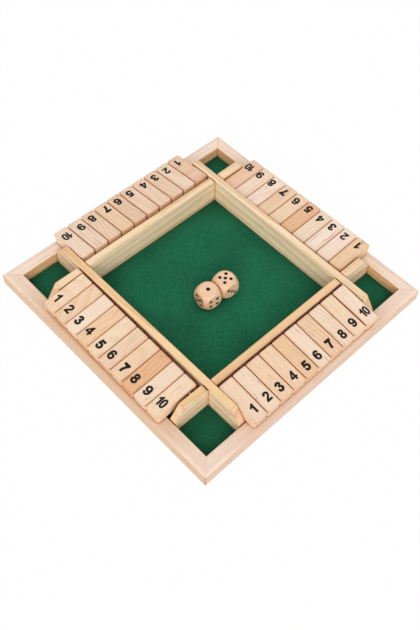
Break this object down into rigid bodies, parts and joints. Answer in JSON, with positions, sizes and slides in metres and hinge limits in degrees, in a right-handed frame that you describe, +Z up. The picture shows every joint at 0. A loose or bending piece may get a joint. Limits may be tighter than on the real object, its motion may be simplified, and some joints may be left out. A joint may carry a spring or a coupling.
{
  "type": "shut the box game",
  "caption": "Square wooden shut the box game for players on all sides: felt-floored dice well inside rows of numbered tiles that flip up on steel rods, with a pair of dice",
  "frame": {"origin": "middle of the underside, on the table", "axes": "+Z up; the long walls run along Y and stand towards +X and -X, the cross walls stand towards +Y and -Y"},
  "size_m": [0.3, 0.3, 0.034],
  "materials": {
    "frame_wood": "sanded pine with a thin clear coat, grain along each rail",
    "wall_wood": "sanded pine, slightly yellower than the frame, thin clear coat",
    "tile_wood": "pale sanded pine blocks, grain along each tile",
    "dice_wood": "smooth pale hardwood with black painted spots",
    "base_plywood": "raw sanded plywood",
    "green_felt": "matt green felt, short pile",
    "steel_rod": "drawn steel rod",
    "steel_pin": "bright wire pins, heads flush with the floor"
  },
  "bodies": {
    "box": {"frame_rail_south": "frame_wood", "frame_rail_east": "frame_wood", "frame_rail_north": "frame_wood", "frame_rail_west": "frame_wood", "base_board": "base_plywood", "felt_lining": "green_felt", "long_wall_east": "wall_wood", "long_wall_west": "wall_wood", "cross_wall_north": "wall_wood", "cross_wall_south": "wall_wood", "end_wall_north_east": "wall_wood", "end_wall_north_west": "wall_wood", "end_wall_south_east": "wall_wood", "end_wall_south_west": "wall_wood", "hinge_rods": "steel_rod", "base_pins": "steel_pin", "wall_pins": "steel_pin"},
    "south_1_tile": {"tile_south_1": "tile_wood"},
    "south_2_tile": {"tile_south_2": "tile_wood"},
    "south_3_tile": {"tile_south_3": "tile_wood"},
    "south_4_tile": {"tile_south_4": "tile_wood"},
    "south_5_tile": {"tile_south_5": "tile_wood"},
    "south_6_tile": {"tile_south_6": "tile_wood"},
    "south_7_tile": {"tile_south_7": "tile_wood"},
    "south_8_tile": {"tile_south_8": "tile_wood"},
    "south_9_tile": {"tile_south_9": "tile_wood"},
    "south_10_tile": {"tile_south_10": "tile_wood"},
    "east_1_tile": {"tile_east_1": "tile_wood"},
    "east_2_tile": {"tile_east_2": "tile_wood"},
    "east_3_tile": {"tile_east_3": "tile_wood"},
    "east_4_tile": {"tile_east_4": "tile_wood"},
    "east_5_tile": {"tile_east_5": "tile_wood"},
    "east_6_tile": {"tile_east_6": "tile_wood"},
    "east_7_tile": {"tile_east_7": "tile_wood"},
    "east_8_tile": {"tile_east_8": "tile_wood"},
    "east_9_tile": {"tile_east_9": "tile_wood"},
    "east_10_tile": {"tile_east_10": "tile_wood"},
    "north_1_tile": {"tile_north_1": "tile_wood"},
    "north_2_tile": {"tile_north_2": "tile_wood"},
    "north_3_tile": {"tile_north_3": "tile_wood"},
    "north_4_tile": {"tile_north_4": "tile_wood"},
    "north_5_tile": {"tile_north_5": "tile_wood"},
    "north_6_tile": {"tile_north_6": "tile_wood"},
    "north_7_tile": {"tile_north_7": "tile_wood"},
    "north_8_tile": {"tile_north_8": "tile_wood"},
    "north_9_tile": {"tile_north_9": "tile_wood"},
    "north_10_tile": {"tile_north_10": "tile_wood"},
    "west_1_tile": {"tile_west_1": "tile_wood"},
    "west_2_tile": {"tile_west_2": "tile_wood"},
    "west_3_tile": {"tile_west_3": "tile_wood"},
    "west_4_tile": {"tile_west_4": "tile_wood"},
    "west_5_tile": {"tile_west_5": "tile_wood"},
    "west_6_tile": {"tile_west_6": "tile_wood"},
    "west_7_tile": {"tile_west_7": "tile_wood"},
    "west_8_tile": {"tile_west_8": "tile_wood"},
    "west_9_tile": {"tile_west_9": "tile_wood"},
    "west_10_tile": {"tile_west_10": "tile_wood"},
    "first_die": {"die_1": "dice_wood"},
    "second_die": {"die_2": "dice_wood"}
  },
  "joints": [
    {"name": "south_1_flip", "type": "hinge", "parent": "box", "child": "south_1_tile", "pos_m": [0, -0.1079, 0.0292], "axis": [-1, 0, 0], "range_deg": [0, 125]},
    {"name": "south_2_flip", "type": "hinge", "parent": "box", "child": "south_2_tile", "pos_m": [0, -0.1079, 0.0292], "axis": [-1, 0, 0], "range_deg": [0, 150]},
    {"name": "south_3_flip", "type": "hinge", "parent": "box", "child": "south_3_tile", "pos_m": [0, -0.1079, 0.0292], "axis": [-1, 0, 0], "range_deg": [0, 150]},
    {"name": "south_4_flip", "type": "hinge", "parent": "box", "child": "south_4_tile", "pos_m": [0, -0.1079, 0.0292], "axis": [-1, 0, 0], "range_deg": [0, 150]},
    {"name": "south_5_flip", "type": "hinge", "parent": "box", "child": "south_5_tile", "pos_m": [0, -0.1079, 0.0292], "axis": [-1, 0, 0], "range_deg": [0, 150]},
    {"name": "south_6_flip", "type": "hinge", "parent": "box", "child": "south_6_tile", "pos_m": [0, -0.1079, 0.0292], "axis": [-1, 0, 0], "range_deg": [0, 150]},
    {"name": "south_7_flip", "type": "hinge", "parent": "box", "child": "south_7_tile", "pos_m": [0, -0.1079, 0.0292], "axis": [-1, 0, 0], "range_deg": [0, 150]},
    {"name": "south_8_flip", "type": "hinge", "parent": "box", "child": "south_8_tile", "pos_m": [0, -0.1079, 0.0292], "axis": [-1, 0, 0], "range_deg": [0, 150]},
    {"name": "south_9_flip", "type": "hinge", "parent": "box", "child": "south_9_tile", "pos_m": [0, -0.1079, 0.0292], "axis": [-1, 0, 0], "range_deg": [0, 150]},
    {"name": "south_10_flip", "type": "hinge", "parent": "box", "child": "south_10_tile", "pos_m": [0, -0.1079, 0.0292], "axis": [-1, 0, 0], "range_deg": [0, 125]},
    {"name": "east_1_flip", "type": "hinge", "parent": "box", "child": "east_1_tile", "pos_m": [0.1078, 0, 0.0248], "axis": [0.0209, -0.9998, 0], "range_deg": [0, 125]},
    {"name": "east_2_flip", "type": "hinge", "parent": "box", "child": "east_2_tile", "pos_m": [0.1078, 0, 0.0248], "axis": [0.0209, -0.9998, 0], "range_deg": [0, 136]},
    {"name": "east_3_flip", "type": "hinge", "parent": "box", "child": "east_3_tile", "pos_m": [0.1078, 0, 0.0248], "axis": [0.0209, -0.9998, 0], "range_deg": [0, 135]},
    {"name": "east_4_flip", "type": "hinge", "parent": "box", "child": "east_4_tile", "pos_m": [0.1078, 0, 0.0248], "axis": [0.0209, -0.9998, 0], "range_deg": [0, 134]},
    {"name": "east_5_flip", "type": "hinge", "parent": "box", "child": "east_5_tile", "pos_m": [0.1078, 0, 0.0248], "axis": [0.0209, -0.9998, 0], "range_deg": [0, 133]},
    {"name": "east_6_flip", "type": "hinge", "parent": "box", "child": "east_6_tile", "pos_m": [0.1078, 0, 0.0248], "axis": [0.0209, -0.9998, 0], "range_deg": [0, 132]},
    {"name": "east_7_flip", "type": "hinge", "parent": "box", "child": "east_7_tile", "pos_m": [0.1078, 0, 0.0248], "axis": [0.0209, -0.9998, 0], "range_deg": [0, 132]},
    {"name": "east_8_flip", "type": "hinge", "parent": "box", "child": "east_8_tile", "pos_m": [0.1078, 0, 0.0248], "axis": [0.0209, -0.9998, 0], "range_deg": [0, 131]},
    {"name": "east_9_flip", "type": "hinge", "parent": "box", "child": "east_9_tile", "pos_m": [0.1078, 0, 0.0248], "axis": [0.0209, -0.9998, 0], "range_deg": [0, 130]},
    {"name": "east_10_flip", "type": "hinge", "parent": "box", "child": "east_10_tile", "pos_m": [0.1078, 0, 0.0248], "axis": [0.0209, -0.9998, 0], "range_deg": [0, 125]},
    {"name": "north_1_flip", "type": "hinge", "parent": "box", "child": "north_1_tile", "pos_m": [0, 0.1098, 0.0292], "axis": [1, 0, 0], "range_deg": [0, 125]},
    {"name": "north_2_flip", "type": "hinge", "parent": "box", "child": "north_2_tile", "pos_m": [0, 0.1098, 0.0292], "axis": [1, 0, 0], "range_deg": [0, 154]},
    {"name": "north_3_flip", "type": "hinge", "parent": "box", "child": "north_3_tile", "pos_m": [0, 0.1098, 0.0292], "axis": [1, 0, 0], "range_deg": [0, 154]},
    {"name": "north_4_flip", "type": "hinge", "parent": "box", "child": "north_4_tile", "pos_m": [0, 0.1098, 0.0292], "axis": [1, 0, 0], "range_deg": [0, 154]},
    {"name": "north_5_flip", "type": "hinge", "parent": "box", "child": "north_5_tile", "pos_m": [0, 0.1098, 0.0292], "axis": [1, 0, 0], "range_deg": [0, 154]},
    {"name": "north_6_flip", "type": "hinge", "parent": "box", "child": "north_6_tile", "pos_m": [0, 0.1098, 0.0292], "axis": [1, 0, 0], "range_deg": [0, 154]},
    {"name": "north_7_flip", "type": "hinge", "parent": "box", "child": "north_7_tile", "pos_m": [0, 0.1098, 0.0292], "axis": [1, 0, 0], "range_deg": [0, 154]},
    {"name": "north_8_flip", "type": "hinge", "parent": "box", "child": "north_8_tile", "pos_m": [0, 0.1098, 0.0292], "axis": [1, 0, 0], "range_deg": [0, 154]},
    {"name": "north_9_flip", "type": "hinge", "parent": "box", "child": "north_9_tile", "pos_m": [0, 0.1098, 0.0292], "axis": [1, 0, 0], "range_deg": [0, 154]},
    {"name": "north_10_flip", "type": "hinge", "parent": "box", "child": "north_10_tile", "pos_m": [0, 0.1098, 0.0292], "axis": [1, 0, 0], "range_deg": [0, 125]},
    {"name": "west_1_flip", "type": "hinge", "parent": "box", "child": "west_1_tile", "pos_m": [-0.107, 0, 0.0292], "axis": [0.014, 0.9999, 0], "range_deg": [0, 125]},
    {"name": "west_2_flip", "type": "hinge", "parent": "box", "child": "west_2_tile", "pos_m": [-0.107, 0, 0.0292], "axis": [0.014, 0.9999, 0], "range_deg": [0, 149]},
    {"name": "west_3_flip", "type": "hinge", "parent": "box", "child": "west_3_tile", "pos_m": [-0.107, 0, 0.0292], "axis": [0.014, 0.9999, 0], "range_deg": [0, 150]},
    {"name": "west_4_flip", "type": "hinge", "parent": "box", "child": "west_4_tile", "pos_m": [-0.107, 0, 0.0292], "axis": [0.014, 0.9999, 0], "range_deg": [0, 150]},
    {"name": "west_5_flip", "type": "hinge", "parent": "box", "child": "west_5_tile", "pos_m": [-0.107, 0, 0.0292], "axis": [0.014, 0.9999, 0], "range_deg": [0, 151]},
    {"name": "west_6_flip", "type": "hinge", "parent": "box", "child": "west_6_tile", "pos_m": [-0.107, 0, 0.0292], "axis": [0.014, 0.9999, 0], "range_deg": [0, 151]},
    {"name": "west_7_flip", "type": "hinge", "parent": "box", "child": "west_7_tile", "pos_m": [-0.107, 0, 0.0292], "axis": [0.014, 0.9999, 0], "range_deg": [0, 152]},
    {"name": "west_8_flip", "type": "hinge", "parent": "box", "child": "west_8_tile", "pos_m": [-0.107, 0, 0.0292], "axis": [0.014, 0.9999, 0], "range_deg": [0, 153]},
    {"name": "west_9_flip", "type": "hinge", "parent": "box", "child": "west_9_tile", "pos_m": [-0.107, 0, 0.0292], "axis": [0.014, 0.9999, 0], "range_deg": [0, 153]},
    {"name": "west_10_flip", "type": "hinge", "parent": "box", "child": "west_10_tile", "pos_m": [-0.107, 0, 0.0292], "axis": [0.014, 0.9999, 0], "range_deg": [0, 125]},
    {"name": "die_1_lift", "type": "slide", "parent": "box", "child": "first_die", "axis": [0, 0, 1], "range_m": [0, 0.06]},
    {"name": "die_2_lift", "type": "slide", "parent": "box", "child": "second_die", "axis": [0, 0, 1], "range_m": [0, 0.06]}
  ]
}
